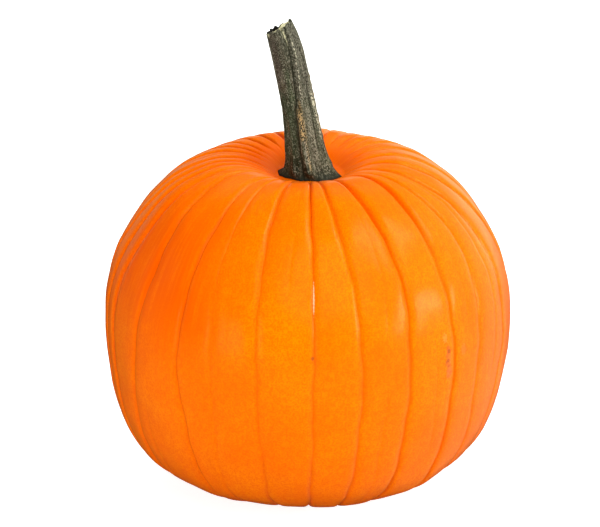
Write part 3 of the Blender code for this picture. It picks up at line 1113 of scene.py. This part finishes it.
# Parts of the surround: the two ends on a direction's axis between which each one sets in.
WINDOW_X = (0.1, 0.9)
LEFT_WALL_X = (-0.2, -1.0)
BACKDROP_Y = (0.5, 0.95)
BACKDROP_HEIGHT = (0.30, 0.05)
BACKDROP_X = (-0.30, 0.05)
LEFT_BACKDROP = 0.35  # strength of the backdrop's left half beside the right half's

# Softboxes: the setting that gives the power, azimuth, elevation, distance, width, height, and
# whether the skin mirrors it.
SOFTBOXES = (
    ("key", 68, 12, 1.7, 0.9, 0.4, True),
    ("high", 80, 55, 1.8, 1.0, 1.0, True),
    ("front", 15, 45, 1.9, 1.4, 1.4, False),
    ("fill", -43, 5, 1.7, 0.6, 0.6, False),
    ("side", -100, 10, 1.7, 0.8, 0.8, False),
    ("back", 180, 40, 2.0, 1.6, 1.6, False),
)


def softbox(stage, name, azimuth, elevation, distance, width, height, mirrored):
    """An area light, placed round the fruit's middle and turned to it."""
    turn, rise = math.radians(azimuth), math.radians(elevation)
    way = Vector((math.sin(turn) * math.cos(rise), -math.cos(turn) * math.cos(rise), math.sin(rise)))
    lamp = bpy.data.lights.new(name + "_softbox", "AREA")
    lamp.shape = "RECTANGLE"
    lamp.size = width
    lamp.size_y = height
    lamp.energy = getattr(stage, name)
    made = bpy.data.objects.new(lamp.name, lamp)
    made.location = Vector((0.0, 0.0, FRUIT_HEIGHT / 2)) + way * distance
    made.rotation_euler = way.to_track_quat("Z", "Y").to_euler()
    made.visible_glossy = mirrored
    bpy.context.scene.collection.objects.link(made)


def white_world(stage):
    """A plain white surround for the eye, which lights the fruit by direction.

    The right is bright like a window, the left is dim, and a low band shines behind the fruit,
    more strongly on the right.
    """
    world = bpy.data.worlds.new("white_surround")
    world.use_nodes = True
    tree = Nodes(world.node_tree)
    way = tree.add("TexCoord")["Generated"]
    x, y, z = tree.add("SeparateXYZ", {"Vector": way})
    window = tree.ramp(x, *WINDOW_X, 0.0, stage.window)
    left_wall = tree.ramp(x, *LEFT_WALL_X, 0.0, stage.left_wall)
    light = tree.maths("MULTIPLY", tree.ramp(y, *BACKDROP_Y, 0.0, stage.backdrop),
                       tree.ramp(tree.maths("ABSOLUTE", z), *BACKDROP_HEIGHT))
    light = tree.maths("MULTIPLY", light, tree.ramp(x, *BACKDROP_X, LEFT_BACKDROP, 1.0))
    for part in (window, left_wall, stage.surround):
        light = tree.maths("ADD", light, part)
    seen = tree.add("LightPath")["Is Camera Ray"]
    background = tree.nodes["Background"]
    tree.put(tree.mix(seen, (*stage.surround_colour, 1.0), WHITE), background.inputs["Color"])
    tree.put(tree.add("Mix", {0: seen, 2: light, 3: 1.0})[0], background.inputs["Strength"])
    bpy.context.scene.world = world


def floor_piece(stage):
    """A wide pale floor that stays near white where the light on it is soft."""
    half = STAGE_SIZE / 2
    mesh = bpy.data.meshes.new("floor")
    corners = [(x * half, y * half, -FLOOR_DROP) for x, y in ((-1, -1), (1, -1), (1, 1), (-1, 1))]
    mesh.from_pydata(corners, [], [(0, 1, 2, 3)])
    paint = Finish("pale_floor")
    seen = paint.add("LightPath")["Is Camera Ray"]
    mesh.materials.append(paint.set(
        Base_Color=(*stage.floor_colour, 1.0),
        Roughness=FLOOR_ROUGHNESS,
        Specular_IOR_Level=0.0,
        Emission_Color=WHITE,
        Emission_Strength=paint.maths("MULTIPLY", seen, stage.floor_glow),
    ))
    floor = bpy.data.objects.new("floor", mesh)
    floor.visible_glossy = False
    bpy.context.scene.collection.objects.link(floor)


def stage_camera(stage):
    """The camera, a little above the fruit's shoulder and turned level by a small roll."""
    lens = bpy.data.cameras.new("camera")
    lens.sensor_width = SENSOR
    lens.lens = stage.lens
    camera = bpy.data.objects.new("camera", lens)
    way = CAMERA_PLACE - LOOK_AT
    roll = Matrix.Rotation(math.radians(CAMERA_ROLL), 4, way.normalized())
    turn = way.to_track_quat("Z", "Y").to_matrix().to_4x4()
    camera.matrix_world = Matrix.Translation(CAMERA_PLACE) @ roll @ turn
    bpy.context.scene.collection.objects.link(camera)
    bpy.context.scene.camera = camera


# ---- The add-on --------------------------------------------------------------------------------


def length(title, about, default, **limits):
    """A length property."""
    return FloatProperty(name=title, description=about, default=default, subtype="DISTANCE",
                         unit="LENGTH", precision=5, min=0.0, **limits)


def share(title, about, default):
    """A plain number property."""
    return FloatProperty(name=title, description=about, default=default, min=0.0, precision=3)


def power(title, about, default):
    """A light's power."""
    return FloatProperty(name=title, description=about, default=default, min=0.0, unit="POWER")


def colour(title, about, default):
    """A colour property."""
    return FloatVectorProperty(name=title, description=about, default=default, subtype="COLOR", size=3,
                               min=0.0, max=1.0)


class RindSettings(bpy.types.PropertyGroup):
    """Sizes and colours of the fruit's rind."""

    rib_relief: share("Rib relief", "Depth of the ribs beside the packed part's", 1.0)
    crease_depth: length("Crease depth", "Depth of a crease of weight 1", 0.6 * MM)
    crease_width: length("Crease width", "Half width of a crease", 1.2 * MM)
    # Half width of the creases' deeper colour, which is partly painted shade.
    stain_and_shade_width: length("Stain width", "Half width of the deeper colour along a crease", 1.7 * MM)
    skin_colour: colour("Skin", "Main colour of the rind", (0.88, 0.158, 0.0))
    pale_colour: colour("Pale skin", "Colour of the paler mottles", (0.90, 0.195, 0.0))
    golden_colour: colour("Golden skin", "Colour of the most golden tones", (0.90, 0.250, 0.0))
    # Used for redder tones and the creases' deeper colour, and as painted shade in creases and cavity.
    deep_colour: colour("Deep skin", "Colour in the creases", (0.78, 0.090, 0.0))
    # Painted shade deep in the side grooves.
    painted_groove_shade: colour("Crevice", "Colour deep in the side grooves", (0.42, 0.070, 0.012))
    roughness: share("Roughness", "Roughness of the waxy skin", 0.20)
    shine: share("Shine", "Specular level of the skin", 0.20)
    shine_colour: colour("Shine colour", "Warmth that the skin gives its shine", (1.0, 0.78, 0.32))


class StalkSettings(bpy.types.PropertyGroup):
    """Sizes and colours of the stalk."""

    toe_reach: share("Toe reach", "How far the foot spreads into its own outline", 1.0)
    fibre_height: share("Fibre height", "Height of the fibres beside their own", 1.0)
    wart_height: length("Wart height", "Height of the cork's warts", 0.5 * MM)
    bark_colour: colour("Bark", "Plain bark", (0.050, 0.058, 0.033))
    grey_colour: colour("Grey bark", "Weathered fibres and specks", (0.230, 0.225, 0.165))
    dark_colour: colour("Dark bark", "Bark in the hollows", (0.012, 0.013, 0.006))
    foot_colour: colour("Foot", "The foot's blackish green", (0.010, 0.016, 0.010))
    cork_colour: colour("Cork", "Tan cork on the ridges", (0.38, 0.27, 0.12))
    chip_colour: colour("Chips", "Pale chips of the bark", (0.50, 0.48, 0.36))
    flesh_colour: colour("Flesh", "Bare flesh beside the cut", (0.56, 0.54, 0.34))
    pith_colour: colour("Pith", "The cut's spongy middle", (0.72, 0.68, 0.42))
    gap_colour: colour("Gaps", "The pith's gaps", (0.10, 0.10, 0.02))
    # Rot, and painted shade inside the far rim and in the pith's hollow.
    rot_and_shade_colour: colour("Rot", "The blackened side of the cut", (0.008, 0.007, 0.005))
    roughness: share("Roughness", "Roughness of the dry bark", 0.72)
    shine: share("Shine", "Specular level of the bark", 0.3)


class StageSettings(bpy.types.PropertyGroup):
    """Light, floor and camera."""

    key: power("Key light", "Softbox low on the right", 10.5)
    high: power("High light", "Softbox high on the right", 12.0)
    front: power("Front light", "Wide softbox above the front", 28.0)
    fill: power("Fill light", "Softbox low on the left", 13.8)
    side: power("Side light", "Softbox on the left", 3.5)
    back: power("Back light", "Wide softbox above the back", 31.0)
    surround: share("Surround", "Strength of the white surround as a light", 0.03)
    window: share("Window", "Strength of the surround on the right", 1.0)
    left_wall: share("Left wall", "Strength of the surround on the left", 0.06)
    backdrop: share("Backdrop", "Strength of the low band behind the fruit", 1.0)
    surround_colour: colour("Surround colour", "Warmth of the surround's light", (1.0, 0.92, 0.60))
    floor_glow: share("Floor glow", "How bright the floor looks in the deepest shade", 0.88)
    floor_colour: colour("Floor", "Colour of the floor", (0.60, 0.60, 0.60))
    lens: FloatProperty(name="Lens", description="Focal length", default=172.2,
                        subtype="DISTANCE_CAMERA", unit="CAMERA")


class PUMPKIN_OT_fruit(bpy.types.Operator):
    """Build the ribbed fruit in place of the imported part's plain one"""

    bl_idname = "pumpkin.fruit"
    bl_label = "Build fruit"

    def execute(self, context):
        rind = context.scene.pumpkin_rind
        add_piece(fruit_mesh(rind), rind_finish(rind), "fruit")
        return {"FINISHED"}


class PUMPKIN_OT_stalk(bpy.types.Operator):
    """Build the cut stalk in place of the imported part's plain one"""

    bl_idname = "pumpkin.stalk"
    bl_label = "Build stalk"

    def execute(self, context):
        stalk = context.scene.pumpkin_stalk
        add_piece(stalk_mesh(stalk), stalk_finish(stalk), "stem")
        return {"FINISHED"}


class PUMPKIN_OT_stage(bpy.types.Operator):
    """Set the pale floor, the soft lights and the camera"""

    bl_idname = "pumpkin.stage"
    bl_label = "Set stage"

    def execute(self, context):
        stage = context.scene.pumpkin_stage
        context.scene.view_settings.view_transform = "Standard"
        white_world(stage)
        floor_piece(stage)
        for row in SOFTBOXES:
            softbox(stage, *row)
        stage_camera(stage)
        return {"FINISHED"}


class PUMPKIN_PT_panel(bpy.types.Panel):
    """The pumpkin's settings and steps"""

    bl_idname = "PUMPKIN_PT_panel"
    bl_label = "Pumpkin"
    bl_space_type = "VIEW_3D"
    bl_region_type = "UI"
    bl_category = "Pumpkin"

    def draw(self, context):
        for operator, group in STEPS:
            self.layout.operator(operator.bl_idname)
            settings = getattr(context.scene, group)
            for name in settings.bl_rna.properties.keys():
                if name not in ("rna_type", "name"):
                    self.layout.prop(settings, name)


STEPS = (
    (PUMPKIN_OT_fruit, "pumpkin_rind"),
    (PUMPKIN_OT_stalk, "pumpkin_stalk"),
    (PUMPKIN_OT_stage, "pumpkin_stage"),
)
GROUPS = {"pumpkin_rind": RindSettings, "pumpkin_stalk": StalkSettings, "pumpkin_stage": StageSettings}
CLASSES = (*GROUPS.values(), *(operator for operator, _ in STEPS), PUMPKIN_PT_panel)


def register():
    """Registers the classes and hangs the settings on the scene."""
    for made in CLASSES:
        bpy.utils.register_class(made)
    for name, group in GROUPS.items():
        setattr(bpy.types.Scene, name, PointerProperty(type=group))


def unregister():
    """Takes the settings and the classes away again."""
    for name in GROUPS:
        delattr(bpy.types.Scene, name)
    for made in reversed(CLASSES):
        bpy.utils.unregister_class(made)


def main():
    """Builds the pieces and the stage."""
    register()
    bpy.ops.pumpkin.fruit()
    bpy.ops.pumpkin.stalk()
    bpy.ops.pumpkin.stage()


if __name__ == "__main__":
    main()
